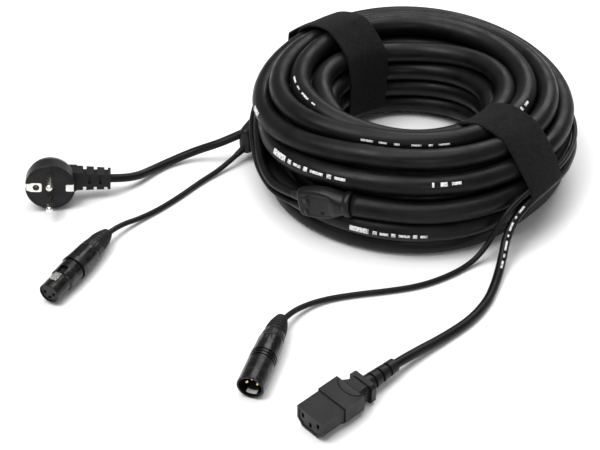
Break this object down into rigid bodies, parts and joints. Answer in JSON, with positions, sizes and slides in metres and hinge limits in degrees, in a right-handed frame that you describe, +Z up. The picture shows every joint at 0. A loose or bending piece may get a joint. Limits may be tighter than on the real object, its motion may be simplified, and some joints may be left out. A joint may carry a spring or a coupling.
{
  "type": "hybrid audio and mains cable coil",
  "caption": "Thick jacketed stage cable coiled on the floor and tied with hook-and-loop straps, each end split by a moulded boot into a mains tail and an XLR audio tail.",
  "frame": {"origin": "coil's axis at the surface it lies on", "axes": "+Z up along the coil's axis, -Y towards the side where the speaker end's connectors lie, +X to the right seen from there"},
  "size_m": [0.4376, 0.4521, 0.0814],
  "materials": {
    "jacket": "satin",
    "strap": "matt",
    "boot": "satin",
    "moulding": "satin",
    "insert": "satin",
    "sleeve": "matt",
    "shell": "satin",
    "nickel": "polished",
    "spring_steel": "bright",
    "brass": "bright"
  },
  "bodies": {
    "cable": {"hybrid_cable_coil": "jacket", "strap_left": "strap", "strap_right": "strap", "source_boot": "boot", "speaker_boot": "boot", "source_mains_tail": "jacket", "source_audio_tail": "jacket", "speaker_mains_tail": "jacket", "speaker_audio_tail": "jacket", "plug_housing": "moulding", "plug_face_insert": "insert", "plug_line_pin": "nickel", "plug_neutral_pin": "nickel", "plug_earth_clip": "nickel", "plug_earth_socket": "nickel", "plug_strain_relief": "moulding", "coupler_housing": "moulding", "coupler_contact_carrier": "insert", "coupler_line_contact": "brass", "coupler_neutral_contact": "brass", "coupler_earth_contact": "brass", "coupler_strain_relief": "moulding", "xlr_female_shell": "shell", "xlr_female_insert": "insert", "xlr_female_socket_1": "brass", "xlr_female_socket_2": "brass", "xlr_female_socket_3": "brass", "xlr_female_latch_spring": "spring_steel", "xlr_female_chuck": "insert", "xlr_female_nut": "insert", "xlr_female_sleeve": "sleeve", "xlr_male_shell": "shell", "xlr_male_insert": "insert", "xlr_male_pin_1": "brass", "xlr_male_pin_2": "brass", "xlr_male_pin_3": "brass", "xlr_male_earth_tab": "nickel", "xlr_male_chuck": "insert", "xlr_male_nut": "insert", "xlr_male_sleeve": "sleeve"},
    "latch": {"xlr_female_latch": "nickel"}
  },
  "joints": [
    {"name": "latch_press", "type": "slide", "parent": "cable", "child": "latch", "axis": [0, 0, -1], "range_m": [0, 0.0013], "stiffness_N_per_m": 1500, "deforming": ["xlr_female_latch_spring"]}
  ]
}
